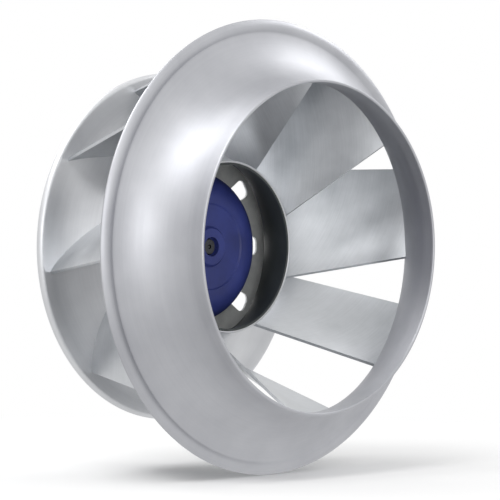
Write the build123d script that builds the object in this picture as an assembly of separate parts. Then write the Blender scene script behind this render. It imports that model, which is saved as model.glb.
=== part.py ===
from build123d import *
import math
import os

# Motorised fan wheel: a backward curved mixed flow impeller of spun and pressed aluminium,
# carried by an external rotor motor. The fan axis is the Y axis and the inlet faces -Y.
# The origin is the centre of the motor's mounting face. Millimetres, +Z up.
# In a profile, the first number is the radius and the second is the place along Y.

# Wheel, overall
RIM_RADIUS = 200.0
THROAT_RADIUS = 142.5
HUB_RIM_RADIUS = 158.0
HUB_MOUTH_RADIUS = 73.5
STANDOFF = 53.0
OUTLET_WIDTH = 129.0
SHROUD_DEPTH = 65.6
HUB_DEPTH = 75.0

# Inlet shroud
SHROUD_SHEET = 2.5
LIP_STRAIGHT = 8.0
BEAD_WIDTH = 11.0
BEAD_RISE = 2.0
BEAD_DROP = 1.8

# Hub, its black support cone and the vented disc
HUB_SHEET = 2.0
CONE_SHEET = 2.0
DISC_SHEET = 2.0
HUB_HEEL_RADIUS = 46.0
HUB_HEEL_ANGLE = 21.0
HUB_MOUTH_ANGLE = 6.0
MOUTH_LIP = 3.0
HEM_LENGTH = 6.0
WINDOW_COUNT = 12
WINDOW_INNER_RADIUS = 87.0
WINDOW_OUTER_RADIUS = 111.5
WINDOW_HALF_ANGLE = 4.8
WINDOW_CORNER = 6.0

# Blades, angles clockwise from the top as seen from the inlet
BLADE_COUNT = 9
BLADE_SHEET = 2.5
BLADE_PHASE = -18.7
TRAILING_ROOT_RADIUS = 148.0
TRAILING_TIP_RADIUS = 185.5
LEADING_ROOT_RADIUS = 78.8
LEADING_TIP_RADIUS = 155.0
TRAILING_TIP_ANGLE = 6.2
LEADING_TIP_ANGLE = 32.5
LEADING_ROOT_ANGLE = 50.8
BLADE_STATIONS = 9
BLADE_OVERRUN = 7.0
PASSAGE_MARGIN = 10.0

# Rotor
ROTOR_RADIUS = 69.0
ROTOR_REAR_STEP = 2.0
ROTOR_WALL = 7.0
ROTOR_PROJECTION = 53.0
ROTOR_FACE = 8.0
ROTOR_REAR_GAP = 4.0
ROTOR_EDGE = 26.0
FACE_RECESS = 1.2
FACE_MARGIN = 5.0
BOSS_RADIUS = 18.4
BOSS_RISE = 3.0
BOSS_CHAMFER = 2.0
EYE_RADIUS = 8.8
EYE_DEPTH = 5.0
CARRIER_RADIUS = 83.0
CARRIER_THICKNESS = 7.0
CARRIER_SCREW_COUNT = 8
CARRIER_SCREW_CIRCLE = 76.0
CARRIER_SCREW_RADIUS = 3.0
CARRIER_SCREW_HEAD = 5.0
CARRIER_SCREW_HEAD_HEIGHT = 3.6
CARRIER_SCREW_HEAD_ROUND = 1.0
CARRIER_SCREW_REACH = 6.0
CARRIER_SOCKET_RADIUS = 2.3
CARRIER_SOCKET_DEPTH = 2.0
HOLE_EASE = 0.2
WASHER_RADIUS = 5.8
WASHER_THICKNESS = 1.0
BAR_COUNT = 28
BAR_RADIUS = 2.0
BAR_COVER = 1.5
END_RING_HEIGHT = 4.0
END_RING_WIDTH = 9.0
END_RING_STEP = 0.8

# Stator
AIR_GAP = 0.5
STACK_LENGTH = 32.0
STACK_SETBACK = 24.7
ROTOR_CORE_WIDTH = 12.5
SLOT_COUNT = 24
SLOT_BOTTOM = 29.0
TOOTH_TIP = 4.0
SLOT_WIDTH = 4.6
SLOT_MOUTH = 2.2
SLOT_LINER = 0.25
INSULATOR = 1.2
INSULATOR_BORE_GAP = 2.0
INSULATOR_EDGE_GAP = 0.5
WINDING_INNER_RADIUS = 27.5
WINDING_INSET = 3.0
WINDING_FRONT_HEIGHT = 9.5
WINDING_REAR_HEIGHT = 8.5
WINDING_ROUND = 2.0
CUTOUT_LENGTH = 14.0
CUTOUT_WIDTH = 7.0
CUTOUT_HEIGHT = 3.5
CUTOUT_ROUND = 0.8

# Mounting flange
FLANGE_RADIUS = 66.0
FLANGE_THICKNESS = 14.0
FLANGE_LIP = 4.0
FLANGE_LIP_WIDTH = 6.0
FLANGE_BOSS_RADIUS = 25.0
FLANGE_BOSS_HEIGHT = 12.0
SPIGOT_RADIUS = 40.0
SPIGOT_HEIGHT = 3.0
MOUNT_HOLE_COUNT = 4
MOUNT_HOLE_CIRCLE = 50.0
MOUNT_HOLE_RADIUS = 2.5
MOUNT_HOLE_DEPTH = 10.0
LEAD_CIRCLE = 50.0

# Shaft, bearings and seal
SHAFT_RADIUS = 7.5
SHAFT_NOSE = 2.0
SHAFT_NOSE_CHAMFER = 1.0
SHAFT_CENTRE_RADIUS = 2.0
SHAFT_TAIL_CHAMFER = 0.5
BEARING_RADIUS = 17.5
BEARING_WIDTH = 11.0
RING_WALL = 2.8
BALL_RADIUS = 2.9
BALL_COUNT = 8
BALL_CLEARANCE = 0.1
TUBE_RADIUS = 21.0
TUBE_SHOULDER = 1.5
TUBE_RECESS = 6.0
TUBE_FRONT_GAP = 2.0
INNER_BOSS_RADIUS = 10.0
INNER_BOSS_HEIGHT = 5.0
SPRING_HEIGHT = 2.0
SPRING_SHEET = 0.7
SPRING_EASE = 0.3
CIRCLIP_THICKNESS = 1.0
CIRCLIP_RADIUS = 10.5
CIRCLIP_GROOVE = 0.6
CIRCLIP_GAP = 3.0
SHAFT_TAIL = 2.0
CAP_THICKNESS = 4.0
SEAL_RADIUS = 14.0
SEAL_HEIGHT = 3.0
SEAL_TAPER = 1.5
SEAL_LIP = 1.0

# Cable gland
GLAND_RADIUS = 6.0
GLAND_BORE = 3.6
GLAND_THREAD = 9.0
GLAND_HEX = 14.0
GLAND_HEX_HEIGHT = 5.0
GLAND_NUT_HEIGHT = 9.0
GLAND_NUT_MOUTH = 4.6
GLAND_NUT_CHAMFER = 1.0
GLAND_STEM_RADIUS = 5.8
GLAND_STEM_LENGTH = 5.0
GLAND_SEAL_RADIUS = 5.6
GLAND_SEAL_LENGTH = 3.0
CORD_RADIUS = 3.0

# Balance weights on the back of the disc
WEIGHT_ANGLES = (35.0, 215.0)
WEIGHT_CIRCLE = 125.0
WEIGHT_LENGTH = 18.0
WEIGHT_WIDTH = 12.0
WEIGHT_THICKNESS = 3.0
WEIGHT_ROUND = 2.0
WEIGHT_RIVET_RADIUS = 2.0
WEIGHT_RIVET_HEAD = 3.6
WEIGHT_RIVET_HEAD_HEIGHT = 1.4

# How far a cutter runs past what it cuts
PAST = 1.0

# Places along Y that several pieces share
DISC_FRONT = -STANDOFF
DISC_BACK = DISC_FRONT + DISC_SHEET
RIM_Y = DISC_FRONT - OUTLET_WIDTH
LIP_FRONT = RIM_Y - SHROUD_DEPTH
MOUTH_Y = DISC_FRONT - HUB_DEPTH
ROTOR_FRONT = DISC_FRONT - ROTOR_PROJECTION
ROTOR_FLOOR = ROTOR_FRONT + ROTOR_FACE
FLANGE_FRONT = -FLANGE_THICKNESS
ROTOR_BACK = FLANGE_FRONT - FLANGE_LIP - ROTOR_REAR_GAP
FRONT_BEARING_Y = ROTOR_FLOOR + INNER_BOSS_HEIGHT
TUBE_BACK = -TUBE_RECESS
REAR_BEARING_Y = TUBE_BACK - BEARING_WIDTH - SHAFT_TAIL - CIRCLIP_THICKNESS
STACK_FRONT = ROTOR_FLOOR + STACK_SETBACK
STACK_BACK = STACK_FRONT + STACK_LENGTH

# Radii that follow the rotor's
ROTOR_REAR_RADIUS = ROTOR_RADIUS - ROTOR_REAR_STEP
ROTOR_BORE = ROTOR_REAR_RADIUS - ROTOR_WALL
FACE_RECESS_RADIUS = ROTOR_RADIUS - ROTOR_EDGE - FACE_MARGIN
STATOR_RADIUS = ROTOR_BORE - ROTOR_CORE_WIDTH - AIR_GAP
SLOT_TOP = STATOR_RADIUS - TOOTH_TIP
WINDING_OUTER_RADIUS = STATOR_RADIUS - WINDING_INSET

FAN_AXIS = Axis.Y
PITCH = 360.0 / BLADE_COUNT


def turned(outline):
    """A solid turned about the fan axis from a closed outline in (radius, y)."""
    return revolve(make_face(Wire(outline)), axis=FAN_AXIS)


def turned_polygon(*points):
    """A solid turned about the fan axis from the corners of its outline."""
    return turned(Polyline(*points, close=True).edges())


def ring(inner, outer, y_front, y_back):
    """A plain ring about the fan axis."""
    return turned_polygon((inner, y_front), (outer, y_front), (outer, y_back), (inner, y_back))


def spun_sheet(line, thickness):
    """A sheet of one thickness whose middle follows a line, with round edges."""
    outline = line.offset_2d(thickness / 2)
    return revolve(make_face(outline), axis=FAN_AXIS)


def at_angle(shape, angle):
    """A shape turned clockwise about the fan axis, as seen from the inlet."""
    return Rot(0, angle, 0) * shape


def around(shape, count, start=0.0):
    """Copies of a shape evenly spaced about the fan axis."""
    return [at_angle(shape, start + 360.0 * k / count) for k in range(count)]


def bar(radius, r, y_from, y_to):
    """A round bar parallel to the fan axis, standing at a radius r above it."""
    plane = Plane(origin=(0, y_from, r), z_dir=(0, 1, 0))
    return extrude(plane * Circle(radius), y_to - y_from)


def block(r_from, r_to, width, y_from, y_to):
    """A block above the fan axis, between two radii."""
    return Pos(0, (y_from + y_to) / 2, (r_from + r_to) / 2) * Box(width, y_to - y_from, r_to - r_from)


def place(profile_point, angle):
    """The point of a profile, turned clockwise by an angle about the fan axis."""
    turn = math.radians(angle)
    return Vector(profile_point.X * math.sin(turn), profile_point.Y, profile_point.X * math.cos(turn))


def shroud_line(shift, with_bead):
    """The shroud's profile, moved by shift towards the air passage from the sheet's middle."""
    start_r = THROAT_RADIUS + SHROUD_SHEET / 2
    start_y = LIP_FRONT + SHROUD_SHEET / 2
    arc_y = start_y + LIP_STRAIGHT
    valley_r = RIM_RADIUS - BEAD_WIDTH
    valley_y = RIM_Y - BEAD_DROP
    rise = valley_r - start_r
    run = valley_y - arc_y
    radius = (rise**2 + run**2) / (2 * rise)
    sweep = math.degrees(math.atan2(run, radius - rise))
    edges = [Line((start_r - shift, start_y), (start_r - shift, arc_y))]
    edges.append(CenterArc((start_r + radius, arc_y), radius + shift, 180, -sweep))
    if with_bead:
        crown = (RIM_RADIUS - BEAD_WIDTH / 2, RIM_Y - BEAD_DROP / 2 - BEAD_RISE)
        edges.append(ThreePointArc((valley_r, valley_y), crown, (RIM_RADIUS - SHROUD_SHEET / 2, RIM_Y)))
    return Wire(edges)


def hub_line(shift, mouth_extra=0.0, rim_radius=None, hem=False):
    """The hub's profile, moved by shift towards the air passage from the face between its two sheets."""
    heel = math.radians(HUB_HEEL_ANGLE)
    mouth = math.radians(90 - HUB_MOUTH_ANGLE)
    mouth_r = HUB_MOUTH_RADIUS + CONE_SHEET
    flange_y = DISC_FRONT - CONE_SHEET
    rise = flange_y - MOUTH_Y
    main = (rise - HUB_HEEL_RADIUS * (1 - math.cos(heel))) / (math.cos(heel) - math.cos(mouth))
    flange_r = mouth_r + HUB_HEEL_RADIUS * math.sin(heel) + main * (math.sin(mouth) - math.sin(heel))
    heel_centre = (flange_r, flange_y - HUB_HEEL_RADIUS)
    step = main - HUB_HEEL_RADIUS
    main_centre = (heel_centre[0] + step * math.sin(heel), heel_centre[1] - step * math.cos(heel))
    main_sweep = HUB_MOUTH_ANGLE + HUB_HEEL_ANGLE - 90
    main_arc = CenterArc(main_centre, main - shift, 180 - HUB_MOUTH_ANGLE, main_sweep)
    heel_arc = CenterArc(heel_centre, HUB_HEEL_RADIUS - shift, 90 + HUB_HEEL_ANGLE, -HUB_HEEL_ANGLE)
    edges = [main_arc, heel_arc]
    if mouth_extra:
        start = main_arc @ 0
        back = main_arc % 0
        edges.insert(0, Line(start - back * mouth_extra, start))
    if rim_radius:
        end = heel_arc @ 1
        edges.append(Line(end, (rim_radius, end.Y)))
        if hem:
            bend = (CONE_SHEET + DISC_SHEET) / 2 + shift
            edges.append(CenterArc((rim_radius, end.Y + bend), bend, -90, 180))
            edges.append(Line((rim_radius, end.Y + 2 * bend), (rim_radius - HEM_LENGTH, end.Y + 2 * bend)))
    return Wire(edges)


def length_at_radius(line, radius):
    """How far along a profile, from its start, its radius reaches a value."""
    low = 0.0
    high = line.length
    for _ in range(40):
        middle = (low + high) / 2
        if line.position_at(middle, position_mode=PositionMode.LENGTH).X < radius:
            low = middle
        else:
            high = middle
    return (low + high) / 2


def blade_edge_line(line, leading_radius, trailing_radius, leading_angle, trailing_angle):
    """Stations of a blade on one wall, from trailing to leading edge, at one slope to the rim."""
    leading = length_at_radius(line, leading_radius)
    trailing = length_at_radius(line, trailing_radius)
    fine = 20
    steps = (BLADE_STATIONS - 1) * fine
    points = []
    wraps = [0.0]
    for k in range(steps + 1):
        along = trailing + (leading - trailing) * k / steps
        points.append(line.position_at(along, position_mode=PositionMode.LENGTH))
        if k:
            wraps.append(wraps[-1] + 2 / (points[k].X + points[k - 1].X))
    span = leading_angle - trailing_angle
    stations = []
    for k in range(0, steps + 1, fine):
        stations.append(place(points[k], trailing_angle + span * wraps[k] / wraps[-1]))
    return stations


def make_blade():
    """One blade: a bent sheet ruled from the hub to the shroud and trimmed to both."""
    hub_wall = hub_line(HUB_SHEET, mouth_extra=MOUTH_LIP, rim_radius=HUB_RIM_RADIUS)
    shroud_wall = shroud_line(SHROUD_SHEET / 2, with_bead=False)
    roots = blade_edge_line(hub_wall, LEADING_ROOT_RADIUS, TRAILING_ROOT_RADIUS, LEADING_ROOT_ANGLE, 0.0)
    tips = blade_edge_line(
        shroud_wall, LEADING_TIP_RADIUS, TRAILING_TIP_RADIUS, LEADING_TIP_ANGLE, TRAILING_TIP_ANGLE
    )
    middles = [(root + tip) / 2 for root, tip in zip(roots, tips)]
    sections = []
    for k, (root, tip) in enumerate(zip(roots, tips)):
        ahead = middles[min(k + 1, BLADE_STATIONS - 1)]
        behind = middles[max(k - 1, 0)]
        across = (tip - root).normalized()
        side = across.cross(ahead - behind).normalized() * (BLADE_SHEET / 2)
        low = root - across * BLADE_OVERRUN
        high = tip + across * BLADE_OVERRUN
        sections.append(make_face(Polyline(low - side, high - side, high + side, low + side, close=True)))
    sheet = loft(sections)
    blade = passage(hub_wall, shroud_wall) & sheet
    return at_angle(blade, BLADE_PHASE)


def passage(hub_wall, shroud_wall):
    """The space between the hub and the shroud, open at the inlet and the outlet."""
    beyond = RIM_RADIUS + PASSAGE_MARGIN
    inside = HUB_MOUTH_RADIUS - PASSAGE_MARGIN
    hub_start = hub_wall @ 0
    hub_end = hub_wall @ 1
    shroud_start = shroud_wall @ 0
    shroud_end = shroud_wall @ 1
    edges = list(hub_wall.edges()) + list(shroud_wall.edges())
    edges.append(Line(hub_end, (beyond, hub_end.Y)))
    edges.append(Line((beyond, hub_end.Y), (beyond, shroud_end.Y)))
    edges.append(Line((beyond, shroud_end.Y), shroud_end))
    edges.append(Line(shroud_start, (inside, shroud_start.Y)))
    edges.append(Line((inside, shroud_start.Y), (inside, hub_start.Y)))
    edges.append(Line((inside, hub_start.Y), hub_start))
    return turned(edges)


def make_shroud():
    """The spun inlet shroud with its rolled bead at the rim."""
    return spun_sheet(shroud_line(0.0, with_bead=True), SHROUD_SHEET)


def stack_radius():
    """The outer radius of the cone's flange and the disc, inside the hub's hem."""
    return HUB_RIM_RADIUS - HUB_SHEET - (CONE_SHEET + DISC_SHEET) / 2


def make_hub():
    """The spun hub, hemmed round the edges of the support cone and the disc."""
    line = hub_line(HUB_SHEET / 2, mouth_extra=MOUTH_LIP, rim_radius=stack_radius(), hem=True)
    return spun_sheet(line, HUB_SHEET)


def make_support_cone():
    """The black cone behind the hub, which carries the wheel on the disc."""
    rim = stack_radius() - CONE_SHEET / 2
    return spun_sheet(hub_line(-CONE_SHEET / 2, mouth_extra=MOUTH_LIP, rim_radius=rim), CONE_SHEET)


def window():
    """One window of the disc, as a prism through it, above the fan axis."""
    half = WINDOW_HALF_ANGLE
    outer = CenterArc((0, 0), WINDOW_OUTER_RADIUS, 90 - half, 2 * half)
    inner = CenterArc((0, 0), WINDOW_INNER_RADIUS, 90 - half, 2 * half)
    sides = [Line(outer @ 0, inner @ 0), Line(outer @ 1, inner @ 1)]
    face = make_face(Wire([outer, inner] + sides))
    face = fillet(face.vertices(), WINDOW_CORNER)
    plane = Plane(origin=(0, DISC_BACK + PAST, 0), x_dir=(1, 0, 0), z_dir=(0, -1, 0))
    return extrude(plane * face, DISC_SHEET + 2 * PAST)


def make_disc():
    """The vented disc between the rotor and the rim of the hub."""
    disc = ring(ROTOR_RADIUS + HOLE_EASE, stack_radius(), DISC_FRONT, DISC_BACK)
    disc -= around(window(), WINDOW_COUNT)
    hole = bar(CARRIER_SCREW_RADIUS + HOLE_EASE, CARRIER_SCREW_CIRCLE, DISC_FRONT - PAST, DISC_BACK + PAST)
    disc -= around(hole, CARRIER_SCREW_COUNT)
    rivet_hole = bar(WEIGHT_RIVET_RADIUS, WEIGHT_CIRCLE, DISC_FRONT - PAST, DISC_BACK + PAST)
    disc -= [at_angle(rivet_hole, angle) for angle in WEIGHT_ANGLES]
    return disc


def make_disc_washers():
    """A washer under each screw of the disc."""
    front = DISC_FRONT - WASHER_THICKNESS
    washer = bar(WASHER_RADIUS, CARRIER_SCREW_CIRCLE, front, DISC_FRONT)
    washer -= bar(CARRIER_SCREW_RADIUS + HOLE_EASE, CARRIER_SCREW_CIRCLE, front - PAST, DISC_FRONT + PAST)
    return around(washer, CARRIER_SCREW_COUNT)


def make_disc_screws():
    """The screws that hold the disc to the rotor's carrier flange."""
    seat = DISC_FRONT - WASHER_THICKNESS
    head_front = seat - CARRIER_SCREW_HEAD_HEIGHT
    head = bar(CARRIER_SCREW_HEAD, CARRIER_SCREW_CIRCLE, head_front, seat)
    head = fillet(head.faces().sort_by(Axis.Y)[0].edges(), CARRIER_SCREW_HEAD_ROUND)
    plane = Plane(origin=(0, head_front, CARRIER_SCREW_CIRCLE), z_dir=(0, 1, 0))
    socket = extrude(plane * RegularPolygon(CARRIER_SOCKET_RADIUS, 6), CARRIER_SOCKET_DEPTH)
    stem = bar(CARRIER_SCREW_RADIUS, CARRIER_SCREW_CIRCLE, seat, DISC_BACK + CARRIER_SCREW_REACH)
    return around(head - socket + stem, CARRIER_SCREW_COUNT)


def front_circle(shape, radius):
    """The round edges of a shape that have a radius and lie in front of the disc."""
    circles = shape.edges().filter_by(GeomType.CIRCLE)
    return [c for c in circles if math.isclose(c.radius, radius) and c.center().Y < DISC_FRONT]


def make_rotor_cup():
    """The painted rotor cup with its boss, its eye and the shoulder that seats the carrier ring."""
    face_y = ROTOR_FRONT + FACE_RECESS
    boss_y = ROTOR_FRONT - BOSS_RISE + FACE_RECESS
    cup = turned_polygon(
        (SHAFT_RADIUS, boss_y + EYE_DEPTH),
        (EYE_RADIUS, boss_y + EYE_DEPTH),
        (EYE_RADIUS, boss_y),
        (BOSS_RADIUS - BOSS_CHAMFER, boss_y),
        (BOSS_RADIUS, boss_y + BOSS_CHAMFER),
        (BOSS_RADIUS, face_y),
        (FACE_RECESS_RADIUS, face_y),
        (FACE_RECESS_RADIUS + FACE_RECESS, ROTOR_FRONT),
        (ROTOR_RADIUS, ROTOR_FRONT),
        (ROTOR_RADIUS, DISC_BACK),
        (ROTOR_REAR_RADIUS, DISC_BACK),
        (ROTOR_REAR_RADIUS, ROTOR_BACK),
        (ROTOR_BORE, ROTOR_BACK),
        (ROTOR_BORE, ROTOR_FLOOR),
        (INNER_BOSS_RADIUS, ROTOR_FLOOR),
        (INNER_BOSS_RADIUS, FRONT_BEARING_Y),
        (SHAFT_RADIUS, FRONT_BEARING_Y),
    )
    cup = fillet(front_circle(cup, ROTOR_RADIUS), ROTOR_EDGE)
    return fillet(front_circle(cup, ROTOR_BORE), ROTOR_EDGE - ROTOR_FACE)


def make_carrier_ring():
    """The ring pressed on the cup against its shoulder, tapped for the screws of the disc."""
    back = DISC_BACK + CARRIER_THICKNESS
    carrier = ring(ROTOR_REAR_RADIUS, CARRIER_RADIUS, DISC_BACK, back)
    hole = bar(CARRIER_SCREW_RADIUS, CARRIER_SCREW_CIRCLE, DISC_BACK - PAST, back + PAST)
    return carrier - around(hole, CARRIER_SCREW_COUNT)


def make_rotor_core():
    """The ring of laminations pressed into the cup, with its bar holes."""
    core = ring(STATOR_RADIUS + AIR_GAP, ROTOR_BORE, STACK_FRONT, STACK_BACK)
    circle = STATOR_RADIUS + AIR_GAP + BAR_COVER + BAR_RADIUS
    return core - around(bar(BAR_RADIUS, circle, STACK_FRONT - PAST, STACK_BACK + PAST), BAR_COUNT)


def make_rotor_cage():
    """The cast cage: bars through the laminations and a ring at each end."""
    inner = STATOR_RADIUS + AIR_GAP + END_RING_STEP
    circle = STATOR_RADIUS + AIR_GAP + BAR_COVER + BAR_RADIUS
    front = ring(inner, inner + END_RING_WIDTH, STACK_FRONT - END_RING_HEIGHT, STACK_FRONT)
    back = ring(inner, inner + END_RING_WIDTH, STACK_BACK, STACK_BACK + END_RING_HEIGHT)
    bars = around(bar(BAR_RADIUS, circle, STACK_FRONT, STACK_BACK), BAR_COUNT)
    return front + back + bars


def make_shaft():
    """The shaft, pressed into the cup, with its centre hole and circlip groove."""
    front = ROTOR_FRONT - BOSS_RISE + FACE_RECESS + EYE_DEPTH - SHAFT_NOSE
    circlip_front = REAR_BEARING_Y + BEARING_WIDTH
    back = circlip_front + CIRCLIP_THICKNESS + SHAFT_TAIL
    groove = SHAFT_RADIUS - CIRCLIP_GROOVE
    return turned_polygon(
        (0, front + 2 * SHAFT_CENTRE_RADIUS),
        (SHAFT_CENTRE_RADIUS, front + SHAFT_CENTRE_RADIUS),
        (SHAFT_CENTRE_RADIUS, front),
        (SHAFT_RADIUS - SHAFT_NOSE_CHAMFER, front),
        (SHAFT_RADIUS, front + SHAFT_NOSE_CHAMFER),
        (SHAFT_RADIUS, circlip_front),
        (groove, circlip_front),
        (groove, circlip_front + CIRCLIP_THICKNESS),
        (SHAFT_RADIUS, circlip_front + CIRCLIP_THICKNESS),
        (SHAFT_RADIUS, back - SHAFT_TAIL_CHAMFER),
        (SHAFT_RADIUS - SHAFT_TAIL_CHAMFER, back),
        (0, back),
    )


def race_groove(y_front):
    """The round groove that both rings of a bearing share."""
    middle = (SHAFT_RADIUS + BEARING_RADIUS) / 2
    y_middle = y_front + BEARING_WIDTH / 2
    circle = Pos(middle, y_middle) * Circle(BALL_RADIUS + BALL_CLEARANCE)
    return revolve(circle, axis=FAN_AXIS)


def make_inner_ring(y_front):
    """A bearing's inner ring, pressed on the shaft."""
    blank = ring(SHAFT_RADIUS, SHAFT_RADIUS + RING_WALL, y_front, y_front + BEARING_WIDTH)
    return blank - race_groove(y_front)


def make_outer_ring(y_front):
    """A bearing's outer ring, held in the bearing tube."""
    blank = ring(BEARING_RADIUS - RING_WALL, BEARING_RADIUS, y_front, y_front + BEARING_WIDTH)
    return blank - race_groove(y_front)


def make_balls(y_front):
    """The balls of one bearing."""
    middle = (SHAFT_RADIUS + BEARING_RADIUS) / 2
    ball = Pos(0, y_front + BEARING_WIDTH / 2, middle) * Sphere(BALL_RADIUS)
    return around(ball, BALL_COUNT)


def make_circlip():
    """The circlip behind the rear bearing, with its gap."""
    front = REAR_BEARING_Y + BEARING_WIDTH
    clip = ring(SHAFT_RADIUS - CIRCLIP_GROOVE, CIRCLIP_RADIUS, front, front + CIRCLIP_THICKNESS)
    return clip - block(0, CIRCLIP_RADIUS + PAST, CIRCLIP_GAP, front - PAST, front + CIRCLIP_THICKNESS + PAST)


def make_shaft_seal():
    """The rubber ring on the cup's inner boss, in front of the front bearing."""
    return turned_polygon(
        (INNER_BOSS_RADIUS, ROTOR_FLOOR),
        (SEAL_RADIUS - SEAL_TAPER, ROTOR_FLOOR),
        (SEAL_RADIUS, ROTOR_FLOOR + SEAL_HEIGHT),
        (SEAL_RADIUS - SEAL_LIP, ROTOR_FLOOR + SEAL_HEIGHT),
        (INNER_BOSS_RADIUS, ROTOR_FLOOR + SEAL_HEIGHT / 2),
    )


def make_disc_spring():
    """The spring washer that preloads the rear bearing against its shoulder."""
    inner = BEARING_RADIUS - RING_WALL + SPRING_EASE
    outer = BEARING_RADIUS - SPRING_EASE
    back = REAR_BEARING_Y
    front = back - SPRING_HEIGHT
    return turned_polygon(
        (outer, back - SPRING_SHEET),
        (outer, back),
        (inner, front + SPRING_SHEET),
        (inner, front),
    )


def make_bearing_tube():
    """The steel tube that holds both bearings and carries the stator stack."""
    front = ROTOR_FLOOR + TUBE_FRONT_GAP
    front_seat = FRONT_BEARING_Y + BEARING_WIDTH
    rear_seat = REAR_BEARING_Y - SPRING_HEIGHT
    shoulder = BEARING_RADIUS - TUBE_SHOULDER
    return turned_polygon(
        (BEARING_RADIUS, front),
        (TUBE_RADIUS, front),
        (TUBE_RADIUS, TUBE_BACK),
        (BEARING_RADIUS, TUBE_BACK),
        (BEARING_RADIUS, rear_seat),
        (shoulder, rear_seat),
        (shoulder, front_seat),
        (BEARING_RADIUS, front_seat),
    )


def slot_cutter(y_from, y_to, ease=0.0):
    """One winding slot, wide below and narrow at its mouth; ease shrinks it for what fills it."""
    wide = block(SLOT_BOTTOM + ease, SLOT_TOP - ease, SLOT_WIDTH - 2 * ease, y_from, y_to)
    if ease:
        return wide
    return wide + block(SLOT_TOP - PAST, STATOR_RADIUS + PAST, SLOT_MOUTH, y_from, y_to)


def make_stator_core():
    """The stack of laminations on the bearing tube, with its slots."""
    core = ring(TUBE_RADIUS, STATOR_RADIUS, STACK_FRONT, STACK_BACK)
    return core - around(slot_cutter(STACK_FRONT - PAST, STACK_BACK + PAST), SLOT_COUNT)


def make_insulator(y_from, y_to):
    """A plastic end plate between the stack and the winding heads."""
    plate = ring(TUBE_RADIUS + INSULATOR_BORE_GAP, STATOR_RADIUS - INSULATOR_EDGE_GAP, y_from, y_to)
    return plate - around(slot_cutter(y_from - PAST, y_to + PAST), SLOT_COUNT)


def winding_head(y_from, y_to):
    """One round head of the winding, beyond the end of the stack."""
    head = ring(WINDING_INNER_RADIUS, WINDING_OUTER_RADIUS, y_from, y_to)
    return fillet(head.edges().filter_by(GeomType.CIRCLE), WINDING_ROUND)


def make_winding():
    """The copper winding: a leg in each slot and a head at each end."""
    front = STACK_FRONT - INSULATOR
    back = STACK_BACK + INSULATOR
    heads = winding_head(front - WINDING_FRONT_HEIGHT, front) + winding_head(back, back + WINDING_REAR_HEIGHT)
    legs = around(slot_cutter(front - PAST, back + PAST, ease=SLOT_LINER), SLOT_COUNT)
    return heads + legs


def make_thermal_cutout():
    """The thermal switch tied on the back head of the winding."""
    back = STACK_BACK + INSULATOR + WINDING_REAR_HEIGHT
    middle = (WINDING_INNER_RADIUS + WINDING_OUTER_RADIUS) / 2
    inner = middle - CUTOUT_WIDTH / 2
    body = block(inner, inner + CUTOUT_WIDTH, CUTOUT_LENGTH, back, back + CUTOUT_HEIGHT)
    return fillet(body.edges(), CUTOUT_ROUND)


def make_flange():
    """The cast mounting flange with its spigot, tapped holes and gland boss."""
    lip_front = FLANGE_FRONT - FLANGE_LIP
    boss_front = FLANGE_FRONT - FLANGE_BOSS_HEIGHT
    flange = turned_polygon(
        (TUBE_RADIUS, SPIGOT_HEIGHT),
        (SPIGOT_RADIUS, SPIGOT_HEIGHT),
        (SPIGOT_RADIUS, 0),
        (FLANGE_RADIUS, 0),
        (FLANGE_RADIUS, lip_front),
        (FLANGE_RADIUS - FLANGE_LIP_WIDTH, lip_front),
        (FLANGE_RADIUS - FLANGE_LIP_WIDTH, FLANGE_FRONT),
        (FLANGE_BOSS_RADIUS, FLANGE_FRONT),
        (FLANGE_BOSS_RADIUS, boss_front),
        (TUBE_RADIUS, boss_front),
    )
    mount_hole = bar(MOUNT_HOLE_RADIUS, MOUNT_HOLE_CIRCLE, -MOUNT_HOLE_DEPTH, PAST)
    flange -= around(mount_hole, MOUNT_HOLE_COUNT, start=180 / MOUNT_HOLE_COUNT)
    lead_passage = bar(GLAND_BORE, LEAD_CIRCLE, FLANGE_FRONT - PAST, FLANGE_FRONT / 2)
    gland_hole = gland_stem(GLAND_RADIUS, FLANGE_RADIUS - GLAND_THREAD, FLANGE_RADIUS + PAST)
    lead_hole = gland_stem(GLAND_BORE, LEAD_CIRCLE, FLANGE_RADIUS)
    return flange - at_angle(lead_passage, 180) - gland_hole - lead_hole


def gland_stem(radius, r_from, r_to):
    """A round bar pointing down through the rim of the flange."""
    plane = Plane(origin=(0, FLANGE_FRONT / 2, -r_from), z_dir=(0, 0, -1))
    return extrude(plane * Circle(radius), r_to - r_from)


def gland_hex(r_from, r_to):
    """A hexagonal stretch of the gland."""
    plane = Plane(origin=(0, FLANGE_FRONT / 2, -r_from), z_dir=(0, 0, -1))
    return extrude(plane * RegularPolygon(GLAND_HEX / 2, 6, major_radius=False), r_to - r_from)


def make_gland_body():
    """The cable gland's body, screwed into the flange."""
    inner_end = FLANGE_RADIUS - GLAND_THREAD
    hex_end = FLANGE_RADIUS + GLAND_HEX_HEIGHT
    stem_end = hex_end + GLAND_STEM_LENGTH
    body = gland_stem(GLAND_RADIUS, inner_end, FLANGE_RADIUS) + gland_hex(FLANGE_RADIUS, hex_end)
    body += gland_stem(GLAND_STEM_RADIUS, hex_end, stem_end)
    return body - gland_stem(GLAND_BORE, inner_end - PAST, stem_end + PAST)


def make_gland_seal():
    """The rubber seal in the mouth of the gland, empty here."""
    start = FLANGE_RADIUS + GLAND_HEX_HEIGHT + GLAND_STEM_LENGTH
    end = start + GLAND_SEAL_LENGTH
    seal = gland_stem(GLAND_SEAL_RADIUS, start, end)
    return seal - gland_stem(CORD_RADIUS, start - PAST, end + PAST)


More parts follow.
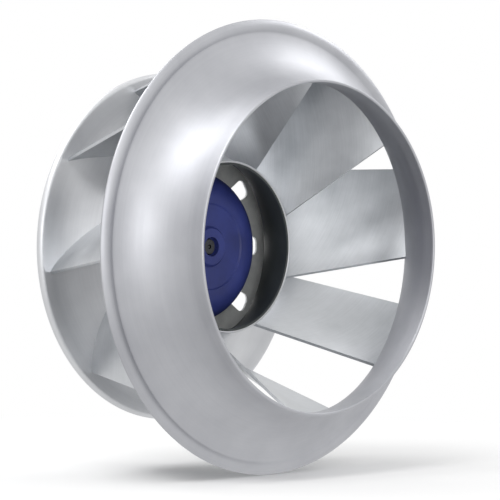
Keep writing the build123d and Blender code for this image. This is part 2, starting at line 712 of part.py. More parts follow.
def make_gland_nut():
    """The gland's domed nut, over the stem and the seal."""
    start = FLANGE_RADIUS + GLAND_HEX_HEIGHT
    end = start + GLAND_NUT_HEIGHT
    inside = start + GLAND_STEM_LENGTH + GLAND_SEAL_LENGTH
    nut = gland_hex(start, end)
    nut = chamfer(nut.faces().sort_by(Axis.Z)[0].edges(), GLAND_NUT_CHAMFER)
    nut -= gland_stem(GLAND_STEM_RADIUS, start - PAST, inside)
    return nut - gland_stem(GLAND_NUT_MOUTH, start, end + PAST)


def make_rear_cap():
    """The cap that closes the bearing tube's end inside the spigot."""
    return ring(0, TUBE_RADIUS, TUBE_BACK, TUBE_BACK + CAP_THICKNESS)


def make_balance_weights():
    """The weights riveted to the back of the disc when the wheel is balanced."""
    inner = WEIGHT_CIRCLE - WEIGHT_WIDTH / 2
    back = DISC_BACK + WEIGHT_THICKNESS
    plate = block(inner, inner + WEIGHT_WIDTH, WEIGHT_LENGTH, DISC_BACK, back)
    plate = fillet(plate.edges().filter_by(Axis.Y), WEIGHT_ROUND)
    plate -= bar(WEIGHT_RIVET_RADIUS, WEIGHT_CIRCLE, DISC_BACK - PAST, back + PAST)
    return [at_angle(plate, angle) for angle in WEIGHT_ANGLES]


def make_balance_rivets():
    """The rivets of the balance weights."""
    back = DISC_BACK + WEIGHT_THICKNESS
    rivet = bar(WEIGHT_RIVET_RADIUS, WEIGHT_CIRCLE, DISC_FRONT, back)
    rivet += bar(WEIGHT_RIVET_HEAD, WEIGHT_CIRCLE, DISC_FRONT - WEIGHT_RIVET_HEAD_HEIGHT, DISC_FRONT)
    rivet += bar(WEIGHT_RIVET_HEAD, WEIGHT_CIRCLE, back, back + WEIGHT_RIVET_HEAD_HEIGHT)
    return [at_angle(rivet, angle) for angle in WEIGHT_ANGLES]


def save(name, shape):
    """Writes one sub-part as a group of its solids."""
    shapes = shape if isinstance(shape, list) else [shape]
    solids = [solid for piece in shapes for solid in piece.solids()]
    body = solids[0] if len(solids) == 1 else Compound(children=solids)
    export_step(body, f"parts/{name}.step")


os.makedirs("parts", exist_ok=True)

save("inlet_shroud", make_shroud())
first_blade = make_blade()
for k in range(BLADE_COUNT):
    save(f"blade_{k + 1}", at_angle(first_blade, k * PITCH))
save("hub", make_hub())
save("support_cone", make_support_cone())
save("vented_disc", make_disc())
save("disc_washers", make_disc_washers())
save("disc_screws", make_disc_screws())
save("balance_weights", make_balance_weights())
save("balance_rivets", make_balance_rivets())

save("rotor_cup", make_rotor_cup())
save("carrier_ring", make_carrier_ring())
save("rotor_core", make_rotor_core())
save("rotor_cage", make_rotor_cage())
save("shaft", make_shaft())
save("shaft_seal", make_shaft_seal())
save("front_bearing_inner_ring", make_inner_ring(FRONT_BEARING_Y))
save("front_bearing_outer_ring", make_outer_ring(FRONT_BEARING_Y))
save("front_bearing_balls", make_balls(FRONT_BEARING_Y))
save("rear_bearing_inner_ring", make_inner_ring(REAR_BEARING_Y))
save("rear_bearing_outer_ring", make_outer_ring(REAR_BEARING_Y))
save("rear_bearing_balls", make_balls(REAR_BEARING_Y))
save("shaft_circlip", make_circlip())
save("preload_spring", make_disc_spring())

save("bearing_tube", make_bearing_tube())
save("stator_core", make_stator_core())
save("front_insulator", make_insulator(STACK_FRONT - INSULATOR, STACK_FRONT))
save("rear_insulator", make_insulator(STACK_BACK, STACK_BACK + INSULATOR))
save("stator_winding", make_winding())
save("thermal_cutout", make_thermal_cutout())
save("mounting_flange", make_flange())
save("rear_cap", make_rear_cap())
save("gland_body", make_gland_body())
save("gland_seal", make_gland_seal())
save("gland_nut", make_gland_nut())
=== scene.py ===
"""A motorised fan wheel with its looks: spun and pressed aluminium, a painted rotor and a studio."""
import math

import bmesh
import bpy
from mathutils import Matrix, Vector


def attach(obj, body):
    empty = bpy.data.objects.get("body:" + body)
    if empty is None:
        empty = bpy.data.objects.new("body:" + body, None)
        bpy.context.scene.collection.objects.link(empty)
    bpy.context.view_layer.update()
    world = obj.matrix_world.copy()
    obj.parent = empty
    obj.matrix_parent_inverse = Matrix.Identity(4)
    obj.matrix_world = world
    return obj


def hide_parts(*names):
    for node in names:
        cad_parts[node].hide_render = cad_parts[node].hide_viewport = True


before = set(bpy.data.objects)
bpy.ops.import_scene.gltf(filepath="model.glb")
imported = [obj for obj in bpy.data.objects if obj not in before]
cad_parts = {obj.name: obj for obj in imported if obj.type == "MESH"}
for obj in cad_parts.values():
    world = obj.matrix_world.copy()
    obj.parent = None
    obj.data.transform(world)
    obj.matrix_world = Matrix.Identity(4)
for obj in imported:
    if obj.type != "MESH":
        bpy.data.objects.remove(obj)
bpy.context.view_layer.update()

MM = 0.001

# Wheel sizes, as in the model, in millimetres and degrees
RIM_RADIUS = 200.0
RIM_Y = -182.0
THROAT_RADIUS = 142.5
LIP_FRONT = -247.6
LIP_STRAIGHT = 8.0
SHROUD_SHEET = 2.5
BEAD_WIDTH = 11.0
BEAD_RISE = 2.0
BEAD_DROP = 1.8
HUB_SHEET = 2.0
CONE_SHEET = 2.0
HUB_MOUTH_RADIUS = 73.5
MOUTH_Y = -128.0
MOUTH_LIP = 3.0
HUB_HEEL_RADIUS = 46.0
HEEL_ANGLE = 21.0
MOUTH_ANGLE = 6.0
DISC_FRONT = -53.0
HEM_RADIUS = 154.0
HEM_LENGTH = 6.0
BLADE_COUNT = 9

# Rounding of the sheets' edges, in millimetres
SHROUD_EDGE = 0.9
HUB_EDGE = 0.7
CONE_EDGE = 0.5

# How finely the meshes are drawn, and the distance in metres at which points are joined
ROUND_STEPS = 240
FLARE_STEPS = 40
BEAD_STEPS = 10
BELL_STEPS = 40
HEEL_STEPS = 14
HEM_STEPS = 16
LIP_STEPS = 4
FLAT_STEPS = 2
EDGE_STEPS = 3
JOIN_DISTANCE = 1e-6

# Angles in degrees above which an edge is shaded sharp or is rounded
SPUN_SHARP = 40.0
COPY_SHARP = 28.0
ROUNDED_FROM = 50

# Spacing of the patterns, in millimetres
TURNING_MARKS = 1.54
TURNING_BANDS = 16.7
SPUN_CLOUDS = 55.6
ROLLED_GRAIN = 1.11
ROLLED_LENGTH = 33.3
ROLLED_CLOUDS = 45.5
ORANGE_PEEL = 2.0
PAINT_CLOUDS = 28.6
MOULD_GRAIN = 0.625
LAMINATION_LINES = 1.0
WIRE_LINES = 1.18

# The camera, as fitted to the photo, in metres and lens millimetres
CAMERA_PLACE = (-1.6213, -1.7964, 0.0181)
CAMERA_FORWARD = (0.7031, 0.7111, -0.0090)
CAMERA_RIGHT = (0.7111, -0.7031, 0.0)
CAMERA_LENS = 187.2
CAMERA_SENSOR = 36.0

# The studio, in metres and watts: each lamp has its place, its size and its power
LAMP_AIM = (0.0, -0.15, 0.0)
LAMPS = {
    "key": ((-1.3, -0.45, 1.8), (1.2, 1.0), 22.0),
    "top": ((-0.45, 0.75, 1.7), (1.0, 0.8), 9.0),
    "side": ((1.76, -0.35, 1.32), (1.2, 1.0), 11.0),
    "front": ((-1.6, -2.05, 0.35), (1.0, 0.9), 14.0),
}
SURROUND_LIGHT = 0.6
FLOOR_SIZE = 6.0
FLOOR_GAP = 0.0005
FLOOR_LIT_TO = 0.26
FLOOR_WHITE_FROM = 0.62


# Nodes and colours

def linear(hex_colour):
    """The linear colour of an sRGB hex value, as Blender's sockets take it."""
    parts = [int(hex_colour[k:k + 2], 16) / 255 for k in (1, 3, 5)]
    return [c / 12.92 if c <= 0.04045 else ((c + 0.055) / 1.055) ** 2.4 for c in parts] + [1.0]


def add(tree, kind, inputs=None, **settings):
    """Adds a node: settings are its properties, inputs its values or what is linked to it, where a
    node stands for its first output."""
    made = tree.nodes.new(kind)
    for name, value in settings.items():
        setattr(made, name, value)
    for socket, value in (inputs or {}).items():
        if isinstance(value, bpy.types.Node):
            value = value.outputs[0]
        if isinstance(value, bpy.types.NodeSocket):
            tree.links.new(value, made.inputs[socket])
        else:
            made.inputs[socket].default_value = value
    return made


def new_material(name):
    """An empty material and its node tree."""
    material = bpy.data.materials.new(name)
    material.use_nodes = True
    material.node_tree.nodes.clear()
    return material, material.node_tree


def scale_of(millimetres):
    """The scale of a pattern whose marks are this many millimetres apart."""
    return 1 / (millimetres * MM)


def toned(tree, pattern, low, high, dark, light):
    """The colour from dark to light as a pattern goes from low to high."""
    share = add(tree, "ShaderNodeMapRange", {0: pattern, 1: low, 2: high})
    ends = {0: share, 6: linear(dark), 7: linear(light)}
    return add(tree, "ShaderNodeMix", ends, data_type="RGBA").outputs[2]


def ring_coordinates(tree, apart, along):
    """Coordinates that follow the fan axis: fine across the turning marks, which are this many
    millimetres apart, and long along them."""
    place = add(tree, "ShaderNodeTexCoord").outputs["Object"]
    split = add(tree, "ShaderNodeSeparateXYZ", {0: place}).outputs
    flat = add(tree, "ShaderNodeCombineXYZ", {0: split[0], 2: split[2]})
    radius = add(tree, "ShaderNodeVectorMath", {0: flat}, operation="LENGTH").outputs["Value"]
    turn = add(tree, "ShaderNodeVectorMath", {0: flat}, operation="NORMALIZE")
    far = add(tree, "ShaderNodeMath", {0: radius, 1: scale_of(apart)}, operation="MULTIPLY")
    deep = add(tree, "ShaderNodeMath", {0: split[1], 1: scale_of(apart)}, operation="MULTIPLY")
    lines = add(tree, "ShaderNodeCombineXYZ", {0: far, 1: deep})
    around = add(tree, "ShaderNodeVectorMath", {0: turn, "Scale": along}, operation="SCALE")
    return add(tree, "ShaderNodeVectorMath", {0: lines, 1: around}, operation="ADD")


def turning_direction(tree):
    """The direction of the turning marks round the fan axis, so that highlights spread across
    them."""
    place = add(tree, "ShaderNodeTexCoord").outputs["Object"]
    sides = {0: (0.0, 1.0, 0.0), 1: place}
    round_axis = add(tree, "ShaderNodeVectorMath", sides, operation="CROSS_PRODUCT")
    return add(
        tree, "ShaderNodeVectorTransform", {0: round_axis},
        vector_type="VECTOR", convert_from="OBJECT", convert_to="WORLD")


# Materials

def spun_aluminium(name, light, dark, rough):
    """Aluminium sheet spun on a lathe and left bare: satin, with faint turning marks round the axis,
    duller bands and the soft uneven grey of handled sheet. The marks are drawn 1.5 mm apart,
    coarser than real."""
    material, tree = new_material(name)
    place = add(tree, "ShaderNodeTexCoord").outputs["Object"]
    marks = add(tree, "ShaderNodeTexNoise", {
        0: ring_coordinates(tree, TURNING_MARKS, along=0.6),
        "Scale": 1.0, "Detail": 3.0, "Roughness": 0.6})
    bands = add(tree, "ShaderNodeTexNoise", {
        0: ring_coordinates(tree, TURNING_BANDS, along=0.5), "Scale": 1.0, "Detail": 2.0})
    cloud = add(tree, "ShaderNodeTexNoise", {
        0: place, "Scale": scale_of(SPUN_CLOUDS), "Detail": 4.0, "Roughness": 0.55})
    tone = add(tree, "ShaderNodeMath", {0: marks, 1: 0.45, 2: cloud}, operation="MULTIPLY_ADD")
    dull = add(tree, "ShaderNodeMath", {0: bands, 1: 0.5, 2: marks}, operation="MULTIPLY_ADD")
    roughness = add(tree, "ShaderNodeMapRange", {
        0: dull, 1: 0.4, 2: 1.1, 3: rough - 0.05, 4: rough + 0.07})
    bump = add(tree, "ShaderNodeBump", {"Strength": 0.05, "Distance": 0.4 * MM, "Height": marks})
    shader = add(tree, "ShaderNodeBsdfPrincipled", {
        "Base Color": toned(tree, tone, 0.35, 1.0, dark, light), "Metallic": 1.0,
        "Roughness": roughness, "Normal": bump, "Anisotropic": 0.45,
        "Anisotropic Rotation": 0.25, "Tangent": turning_direction(tree)})
    add(tree, "ShaderNodeOutputMaterial", {0: shader})
    return material


def rolled_aluminium(name, light, dark, rough):
    """Cold rolled aluminium sheet, pressed to a blade: satin, with a straight fine grain from the
    rolls and slightly duller patches. The grain is drawn 1.1 mm apart, coarser than real."""
    material, tree = new_material(name)
    place = add(tree, "ShaderNodeTexCoord").outputs["Object"]
    long, fine = scale_of(ROLLED_LENGTH), scale_of(ROLLED_GRAIN)
    stretched = add(tree, "ShaderNodeMapping", {0: place, "Scale": (long, fine, long)})
    grain = add(tree, "ShaderNodeTexNoise", {0: stretched, "Scale": 1.0, "Detail": 2.0})
    cloud = add(tree, "ShaderNodeTexNoise", {
        0: place, "Scale": scale_of(ROLLED_CLOUDS), "Detail": 4.0, "Roughness": 0.6})
    tone = add(tree, "ShaderNodeMath", {0: grain, 1: 0.35, 2: cloud}, operation="MULTIPLY_ADD")
    roughness = add(tree, "ShaderNodeMapRange", {
        0: cloud, 1: 0.3, 2: 0.7, 3: rough - 0.05, 4: rough + 0.07})
    bump = add(tree, "ShaderNodeBump", {"Strength": 0.04, "Distance": 0.4 * MM, "Height": grain})
    shader = add(tree, "ShaderNodeBsdfPrincipled", {
        "Base Color": toned(tree, tone, 0.35, 1.0, dark, light), "Metallic": 1.0,
        "Roughness": roughness, "Normal": bump})
    add(tree, "ShaderNodeOutputMaterial", {0: shader})
    return material


def sprayed_paint(name, light, dark, rough):
    """Paint sprayed on metal: an even matt colour with the faint orange peel of the gun, 2 mm
    across."""
    material, tree = new_material(name)
    place = add(tree, "ShaderNodeTexCoord").outputs["Object"]
    peel = add(tree, "ShaderNodeTexNoise", {
        0: place, "Scale": scale_of(ORANGE_PEEL), "Detail": 2.0})
    cloud = add(tree, "ShaderNodeTexNoise", {
        0: place, "Scale": scale_of(PAINT_CLOUDS), "Detail": 3.0})
    roughness = add(tree, "ShaderNodeMapRange", {
        0: cloud, 1: 0.3, 2: 0.7, 3: rough - 0.04, 4: rough + 0.05})
    bump = add(tree, "ShaderNodeBump", {"Strength": 0.08, "Distance": 0.3 * MM, "Height": peel})
    shader = add(tree, "ShaderNodeBsdfPrincipled", {
        "Base Color": toned(tree, cloud, 0.3, 0.7, dark, light),
        "Roughness": roughness, "Normal": bump})
    add(tree, "ShaderNodeOutputMaterial", {0: shader})
    return material


def plain_metal(name, light, dark, rough, grain_width, metallic=1.0):
    """Ground, turned, plated or cast metal: a fine grain in tone, gloss and relief, drawn coarser
    than real. Dull zinc has a chalky skin that scatters light and hardly mirrors, so it is drawn as
    not metallic."""
    material, tree = new_material(name)
    place = add(tree, "ShaderNodeTexCoord").outputs["Object"]
    grain = add(tree, "ShaderNodeTexNoise", {
        0: place, "Scale": scale_of(grain_width), "Detail": 4.0, "Roughness": 0.6})
    roughness = add(tree, "ShaderNodeMapRange", {
        0: grain, 1: 0.3, 2: 0.7, 3: rough - 0.06, 4: rough + 0.08})
    bump = add(tree, "ShaderNodeBump", {"Strength": 0.1, "Distance": 0.3 * MM, "Height": grain})
    shader = add(tree, "ShaderNodeBsdfPrincipled", {
        "Base Color": toned(tree, grain, 0.3, 0.7, dark, light), "Metallic": metallic,
        "Roughness": roughness, "Normal": bump})
    add(tree, "ShaderNodeOutputMaterial", {0: shader})
    return material


def moulded(name, light, dark, rough):
    """Moulded plastic or rubber: a matt fine grain from the mould, 0.6 mm across."""
    material, tree = new_material(name)
    place = add(tree, "ShaderNodeTexCoord").outputs["Object"]
    grain = add(tree, "ShaderNodeTexNoise", {
        0: place, "Scale": scale_of(MOULD_GRAIN), "Detail": 2.0})
    roughness = add(tree, "ShaderNodeMapRange", {
        0: grain, 1: 0.3, 2: 0.7, 3: rough - 0.05, 4: rough + 0.05})
    bump = add(tree, "ShaderNodeBump", {"Strength": 0.15, "Distance": 0.2 * MM, "Height": grain})
    shader = add(tree, "ShaderNodeBsdfPrincipled", {
        "Base Color": toned(tree, grain, 0.3, 0.7, dark, light),
        "Roughness": roughness, "Normal": bump})
    add(tree, "ShaderNodeOutputMaterial", {0: shader})
    return material


def lamination_stack(name):
    """Stamped steel laminations, edge on: dark grey with thin lines along the axis, drawn 1 mm
    apart, coarser than real."""
    material, tree = new_material(name)
    place = add(tree, "ShaderNodeTexCoord").outputs["Object"]
    depth = add(tree, "ShaderNodeSeparateXYZ", {0: place}).outputs[1]
    pitch = 2 * math.pi * scale_of(LAMINATION_LINES)
    wave = add(tree, "ShaderNodeMath", {0: depth, 1: pitch}, operation="MULTIPLY")
    line = add(tree, "ShaderNodeMath", {0: wave}, operation="SINE")
    roughness = add(tree, "ShaderNodeMapRange", {0: line, 1: -1.0, 2: 1.0, 3: 0.55, 4: 0.4})
    height = add(tree, "ShaderNodeMapRange", {0: line, 1: -1.0, 2: 1.0})
    bump = add(tree, "ShaderNodeBump", {"Strength": 0.3, "Distance": 0.3 * MM, "Height": height})
    shader = add(tree, "ShaderNodeBsdfPrincipled", {
        "Base Color": toned(tree, line, -1.0, 1.0, "#4c4c50", "#77777b"), "Metallic": 1.0,
        "Roughness": roughness, "Normal": bump})
    add(tree, "ShaderNodeOutputMaterial", {0: shader})
    return material


def wound_copper(name):
    """Enamelled copper wire laid round the heads: glossy red-brown lines, drawn 1.2 mm apart,
    coarser than real."""
    material, tree = new_material(name)
    strands = add(tree, "ShaderNodeTexNoise", {
        0: ring_coordinates(tree, WIRE_LINES, along=2.0), "Scale": 1.0, "Detail": 1.0})
    roughness = add(tree, "ShaderNodeMapRange", {0: strands, 1: 0.35, 2: 0.65, 3: 0.4, 4: 0.28})
    bump = add(tree, "ShaderNodeBump", {"Strength": 0.5, "Distance": 0.6 * MM, "Height": strands})
    shader = add(tree, "ShaderNodeBsdfPrincipled", {
        "Base Color": toned(tree, strands, 0.35, 0.65, "#7a3513", "#c9743a"), "Metallic": 0.9,
        "Roughness": roughness, "Normal": bump, "Coat Weight": 0.6, "Coat Roughness": 0.15})
    add(tree, "ShaderNodeOutputMaterial", {0: shader})
    return material


# Profiles are drawn flat, with the radius along X and the fan axis along Y, then spun about Y.

def start(mesh, radius, y):
    """The first point of a profile."""
    return mesh.verts.new((radius * MM, y * MM, 0.0))


def straight(mesh, point, radius, y, steps=FLAT_STEPS):
    """A straight stretch from a point to another."""
    goal = Vector((radius * MM, y * MM, 0.0))
    origin = point.co.copy()
    for k in range(steps):
        point = bmesh.ops.extrude_vert_indiv(mesh, verts=[point])["verts"][0]
        point.co = origin.lerp(goal, (k + 1) / steps)
    return point


def arc(mesh, point, centre, degrees, steps):
    """An arc from a point, counted anticlockwise in the flat drawing."""
    middle = (centre[0] * MM, centre[1] * MM, 0.0)
    turned = bmesh.ops.spin(
        mesh, geom=[point], cent=middle, axis=(0, 0, 1), angle=math.radians(degrees), steps=steps)
    return [g for g in turned["geom_last"] if isinstance(g, bmesh.types.BMVert)][0]


def spin_round(mesh):
    """Turns the drawn profile into a surface about the fan axis."""
    bmesh.ops.spin(
        mesh, geom=mesh.verts[:] + mesh.edges[:], cent=(0, 0, 0), axis=(0, 1, 0),
        angle=2 * math.pi, steps=ROUND_STEPS, use_merge=True)
    bmesh.ops.remove_doubles(mesh, verts=mesh.verts[:], dist=JOIN_DISTANCE)
    bmesh.ops.recalc_face_normals(mesh, faces=mesh.faces[:])


def finish_piece(mesh, name, material, body, replaces, sharp=SPUN_SHARP):
    """Turns a mesh into a named piece with its finish, riding on a body."""
    for face in mesh.faces:
        face.smooth = True
    for edge in mesh.edges:
        if edge.is_manifold and edge.calc_face_angle(0.0) > math.radians(sharp):
            edge.smooth = False
    data = bpy.data.meshes.new(name)
    mesh.to_mesh(data)
    mesh.free()
    piece = bpy.data.objects.new(name, data)
    bpy.context.scene.collection.objects.link(piece)
    data.materials.append(material)
    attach(piece, body)
    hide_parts(*replaces)
    return piece


def thicken(piece, sheet, rounding):
    """Gives a spun surface its sheet thickness, with rounded edges."""
    wall = piece.modifiers.new("sheet", "SOLIDIFY")
    wall.thickness = sheet * MM
    wall.offset = 0.0
    wall.use_even_offset = True
    wall.use_quality_normals = True
    edge = piece.modifiers.new("edges", "BEVEL")
    edge.width = rounding * MM
    edge.segments = EDGE_STEPS
    edge.limit_method = "ANGLE"
    edge.angle_limit = math.radians(ROUNDED_FROM)
    edge.harden_normals = False


def circle_centre(a, b, c):
    """The centre of the circle through three points of a profile."""
    aa, bb, cc = a.length_squared, b.length_squared, c.length_squared
    d = 2 * (a.x * (b.y - c.y) + b.x * (c.y - a.y) + c.x * (a.y - b.y))
    x = (aa * (b.y - c.y) + bb * (c.y - a.y) + cc * (a.y - b.y)) / d
    y = (aa * (c.x - b.x) + bb * (a.x - c.x) + cc * (b.x - a.x)) / d
    return Vector((x, y))


def shroud_piece(material):
    """The spun inlet shroud: straight lip, flare and rolled bead."""
    mesh = bmesh.new()
    half = SHROUD_SHEET / 2
    lip_r = THROAT_RADIUS + half
    arc_y = LIP_FRONT + half + LIP_STRAIGHT
    valley_r = RIM_RADIUS - BEAD_WIDTH
    valley_y = RIM_Y - BEAD_DROP
    rise = valley_r - lip_r
    run = valley_y - arc_y
    radius = (rise ** 2 + run ** 2) / (2 * rise)
    sweep = math.degrees(math.atan2(run, radius - rise))
    point = start(mesh, lip_r, LIP_FRONT)
    point = straight(mesh, point, lip_r, arc_y, LIP_STEPS)
    point = arc(mesh, point, (lip_r + radius, arc_y), -sweep, FLARE_STEPS)
    first = Vector((valley_r, valley_y))
    crown = Vector((RIM_RADIUS - BEAD_WIDTH / 2, RIM_Y - BEAD_DROP / 2 - BEAD_RISE))
    last = Vector((RIM_RADIUS - half / 2, RIM_Y))
    centre = circle_centre(first, crown, last)
    turn = math.degrees((last - centre).angle_signed(first - centre))
    arc(mesh, point, centre, turn, BEAD_STEPS)
    spin_round(mesh)
    piece = finish_piece(mesh, "shroud_skin", material, "wheel", ["inlet_shroud"])
    thicken(piece, SHROUD_SHEET, SHROUD_EDGE)


def bell(mesh, shift):
    """The bell's profile from the mouth's lip to its flat flange, moved by shift towards the air."""
    heel = math.radians(HEEL_ANGLE)
    mouth = math.radians(90 - MOUTH_ANGLE)
    mouth_r = HUB_MOUTH_RADIUS + CONE_SHEET
    flange_y = DISC_FRONT - CONE_SHEET
    rise = flange_y - MOUTH_Y
    main = (rise - HUB_HEEL_RADIUS * (1 - math.cos(heel))) / (math.cos(heel) - math.cos(mouth))
    flange_r = mouth_r + HUB_HEEL_RADIUS * math.sin(heel) + main * (math.sin(mouth) - math.sin(heel))
    step = main - HUB_HEEL_RADIUS
    heel_centre = (flange_r, flange_y - HUB_HEEL_RADIUS)
    main_centre = (heel_centre[0] + step * math.sin(heel), heel_centre[1] - step * math.cos(heel))
    entry = math.radians(180 - MOUTH_ANGLE)
    reach = main - shift
    first_r = main_centre[0] + reach * math.cos(entry)
    first_y = main_centre[1] + reach * math.sin(entry)
    lip_r = first_r - MOUTH_LIP * math.sin(entry)
    lip_y = first_y + MOUTH_LIP * math.cos(entry)
    point = start(mesh, lip_r, lip_y)
    point = straight(mesh, point, first_r, first_y)
    point = arc(mesh, point, main_centre, MOUTH_ANGLE + HEEL_ANGLE - 90, BELL_STEPS)
    point = arc(mesh, point, heel_centre, -HEEL_ANGLE, HEEL_STEPS)
    return point, flange_y - shift


def hub_piece(material):
    """The spun hub, hemmed round the cone and the disc."""
    mesh = bmesh.new()
    point, flange_y = bell(mesh, HUB_SHEET / 2)
    point = straight(mesh, point, HEM_RADIUS, flange_y)
    bend = CONE_SHEET + HUB_SHEET / 2
    point = arc(mesh, point, (HEM_RADIUS, flange_y + bend), 180, HEM_STEPS)
    straight(mesh, point, HEM_RADIUS - HEM_LENGTH, flange_y + 2 * bend)
    spin_round(mesh)
    piece = finish_piece(mesh, "hub_skin", material, "wheel", ["hub"])
    thicken(piece, HUB_SHEET, HUB_EDGE)


def cone_piece(material):
    """The support cone behind the hub, whose nearly black colour is painted shade inside the hub's
    mouth.
    """
    mesh = bmesh.new()
    point, flange_y = bell(mesh, -CONE_SHEET / 2)
    straight(mesh, point, HEM_RADIUS - CONE_SHEET / 2, flange_y)
    spin_round(mesh)
    piece = finish_piece(mesh, "cone_skin", material, "wheel", ["support_cone"])
    thicken(piece, CONE_SHEET, CONE_EDGE)


def smoothed(node, name, material, body):
    """A copy of a model node with joined corners and smooth curves, in its place."""
    mesh = bmesh.new()
    mesh.from_mesh(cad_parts[node].data)
    bmesh.ops.remove_doubles(mesh, verts=mesh.verts[:], dist=JOIN_DISTANCE)
    finish_piece(mesh, name, material, body, [node], COPY_SHARP)


# Finishes: light colour, dark colour, roughness and, for a plain metal, its grain in millimetres

# Spun sheet of the shroud and, paler, of the hub: the hub's paler copy is painted light against the
# shade it lies in
spun = spun_aluminium("spun_aluminium", "#bebfc3", "#a9aaaf", 0.5)
spun_hub_painted_light = spun_aluminium("spun_hub_aluminium_painted_light", "#dcdddf", "#c6c7ca", 0.48)
# Pressed sheet of the blades, brighter and smoother than the shroud
pressed = rolled_aluminium("rolled_aluminium", "#d0d2d5", "#b2b5b8", 0.38)
# Paints: nearly black on the cone, painted shade for the dark inside of the hub's mouth, and a deep
# blue on the rotor's cup
black_paint = sprayed_paint("black_paint", "#434848", "#353a3a", 0.55)
blue_paint = sprayed_paint("blue_paint", "#343f86", "#27306c", 0.52)
# Zinc: pale and cloudy on the disc's hot dipped sheet, the pale partly painted light for its shaded
# hollow; light and shiny on the plated parts
zinc_sheet_painted_light = plain_metal("dull_zinc_sheet_painted_light", "#e8eae8", "#d4d6d5", 0.6, 11.1, metallic=0.0)
zinc_plate = plain_metal("zinc_plate", "#c2c4c6", "#a4a7aa", 0.3, 1.43)
# Rivets of bare aluminium: light and satin
bare_rivet = plain_metal("bare_aluminium", "#cfd0d2", "#b4b6b8", 0.35, 1.67)
# Steels: dark on the shaft, polished on the bearings, blackened on the springs, turned on the rest
ground_steel = plain_metal("ground_steel", "#56575a", "#3e3f41", 0.38, 1.11)
bright_steel = plain_metal("bearing_steel", "#d2d4d8", "#bcbec3", 0.14, 1.11)
spring_steel = plain_metal("blackened_steel", "#3e3e43", "#2a2a2f", 0.35, 1.11)
turned_steel = plain_metal("turned_steel", "#9a9ca1", "#7f8287", 0.3, 1.25)
# Castings: a dull grey skin with a coarser grain
cast_aluminium = plain_metal("cast_aluminium", "#a7a9ab", "#8a8c8f", 0.5, 2.38)
cage_aluminium = plain_metal("die_cast_aluminium", "#bcbec0", "#a0a2a5", 0.45, 2.0)
# The core's lines and the winding's strands
laminations = lamination_stack("lamination_steel")
copper = wound_copper("enamelled_copper")
# Mouldings: matt cream insulators, black gland and rubber seals
cream_plastic = moulded("glass_filled_nylon", "#ddd8c6", "#cdc7b2", 0.5)
black_plastic = moulded("black_nylon", "#242427", "#17171a", 0.5)
black_rubber = moulded("black_rubber", "#1d1d1e", "#121213", 0.7)

shroud_piece(spun)
hub_piece(spun_hub_painted_light)
cone_piece(black_paint)
for k in range(1, BLADE_COUNT + 1):
    smoothed(f"blade_{k}", f"blade_sheet_{k}", pressed, "wheel")
smoothed("rotor_cup", "rotor_cup_skin", blue_paint, "wheel")
smoothed("carrier_ring", "carrier_ring_skin", turned_steel, "wheel")
smoothed("shaft", "shaft_skin", ground_steel, "wheel")
smoothed("mounting_flange", "flange_skin", cast_aluminium, "stator")
smoothed("vented_disc", "disc_skin", zinc_sheet_painted_light, "wheel")
smoothed("disc_screws", "disc_screw_skins", zinc_plate, "wheel")
smoothed("disc_washers", "disc_washer_skins", zinc_plate, "wheel")
smoothed("balance_weights", "balance_weight_skins", zinc_plate, "wheel")
smoothed("balance_rivets", "balance_rivet_skins", bare_rivet, "wheel")
smoothed("rear_cap", "rear_cap_skin", zinc_plate, "stator")
smoothed("gland_body", "gland_body_skin", black_plastic, "stator")
smoothed("gland_nut", "gland_nut_skin", black_plastic, "stator")
smoothed("gland_seal", "gland_seal_skin", black_rubber, "stator")

# Pieces inside the motor keep the model's meshes and only get a finish
inside = {
    "rotor_core": laminations,
    "stator_core": laminations,
    "rotor_cage": cage_aluminium,
    "shaft_seal": black_rubber,
    "front_bearing_inner_ring": bright_steel,
    "front_bearing_outer_ring": bright_steel,
    "front_bearing_balls": bright_steel,
    "rear_bearing_inner_ring": bright_steel,
    "rear_bearing_outer_ring": bright_steel,
    "rear_bearing_balls": bright_steel,
    "shaft_circlip": spring_steel,
    "preload_spring": spring_steel,
    "bearing_tube": turned_steel,
    "front_insulator": cream_plastic,
    "rear_insulator": cream_plastic,
    "stator_winding": copper,
    "thermal_cutout": black_plastic,
}
for node, material in inside.items():
    mesh_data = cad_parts[node].data
    mesh_data.materials.clear()
    mesh_data.materials.append(material)


def area_light(name, place, size, power):
    """A soft box lamp pointing at the middle of the wheel."""
    lamp = bpy.data.lights.new(name, "AREA")
    lamp.shape = "RECTANGLE"
    lamp.size, lamp.size_y = size
    lamp.energy = power
    stand = bpy.data.objects.new(name, lamp)
    stand.location = place
    aim = Vector(LAMP_AIM) - Vector(place)
    stand.rotation_euler = aim.to_track_quat("-Z", "Y").to_euler()
    bpy.context.scene.collection.objects.link(stand)


def white_to_rays(tree, lit, white, share=1.0):
    """Shows a surface white to reflections and to light that passes through, and by a share to the
    camera, and lit to everything else."""
    rays = add(tree, "ShaderNodeLightPath").outputs
    seen = add(tree, "ShaderNodeMath", {0: rays["Is Camera Ray"], 1: share}, operation="MULTIPLY")
    for kind in ("Is Glossy Ray", "Is Transmission Ray"):
        seen = add(tree, "ShaderNodeMath", {0: seen, 1: rays[kind]}, operation="MAXIMUM")
    return add(tree, "ShaderNodeMixShader", {0: seen, 1: lit, 2: white})


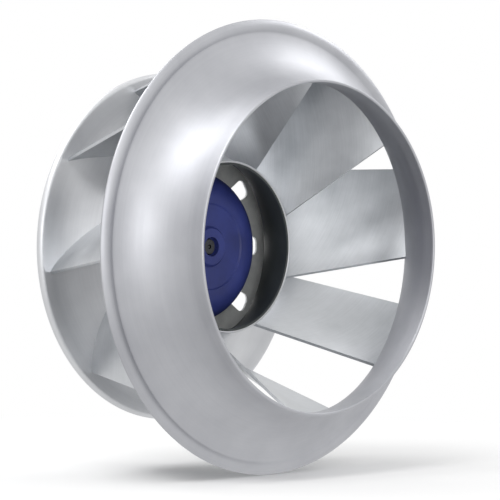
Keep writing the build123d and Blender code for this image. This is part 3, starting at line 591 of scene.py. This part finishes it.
def studio_floor():
    """A pale floor, lit near the wheel and white to the camera further off."""
    material, tree = new_material("studio_floor")
    lit = add(tree, "ShaderNodeBsdfDiffuse", {"Color": linear("#f6f6f6")})
    white = add(tree, "ShaderNodeEmission", {"Color": linear("#ffffff"), "Strength": 1.0})
    place = add(tree, "ShaderNodeTexCoord").outputs["Object"]
    away = add(tree, "ShaderNodeVectorMath", {0: place}, operation="LENGTH").outputs["Value"]
    far = add(tree, "ShaderNodeMapRange", {0: away, 1: FLOOR_LIT_TO, 2: FLOOR_WHITE_FROM})
    add(tree, "ShaderNodeOutputMaterial", {0: white_to_rays(tree, lit, white, far)})
    mesh = bmesh.new()
    bmesh.ops.create_grid(mesh, x_segments=1, y_segments=1, size=FLOOR_SIZE)
    bmesh.ops.translate(mesh, verts=mesh.verts[:], vec=(0, 0, -RIM_RADIUS * MM - FLOOR_GAP))
    data = bpy.data.meshes.new("floor")
    mesh.to_mesh(data)
    mesh.free()
    data.materials.append(material)
    floor = bpy.data.objects.new("floor", data)
    bpy.context.scene.collection.objects.link(floor)


def studio_surround():
    """A pale surround, white to the camera and to reflections."""
    world = bpy.data.worlds.new("studio")
    bpy.context.scene.world = world
    world.use_nodes = True
    tree = world.node_tree
    tree.nodes.clear()
    lit, white = [
        add(tree, "ShaderNodeBackground", {"Color": linear("#ffffff"), "Strength": strength})
        for strength in (SURROUND_LIGHT, 1.0)]
    add(tree, "ShaderNodeOutputWorld", {0: white_to_rays(tree, lit, white)})


studio_floor()
studio_surround()
for name, (place, size, power) in LAMPS.items():
    area_light(name, place, size, power)

camera_data = bpy.data.cameras.new("camera")
camera_data.lens = CAMERA_LENS
camera_data.sensor_width = CAMERA_SENSOR
camera = bpy.data.objects.new("camera", camera_data)
bpy.context.scene.collection.objects.link(camera)
forward = Vector(CAMERA_FORWARD).normalized()
right = Vector(CAMERA_RIGHT).normalized()
turned = Matrix((right, right.cross(forward), -forward)).transposed().to_4x4()
camera.matrix_world = Matrix.Translation(CAMERA_PLACE) @ turned
bpy.context.scene.camera = camera
bpy.context.scene.view_settings.view_transform = "Standard"
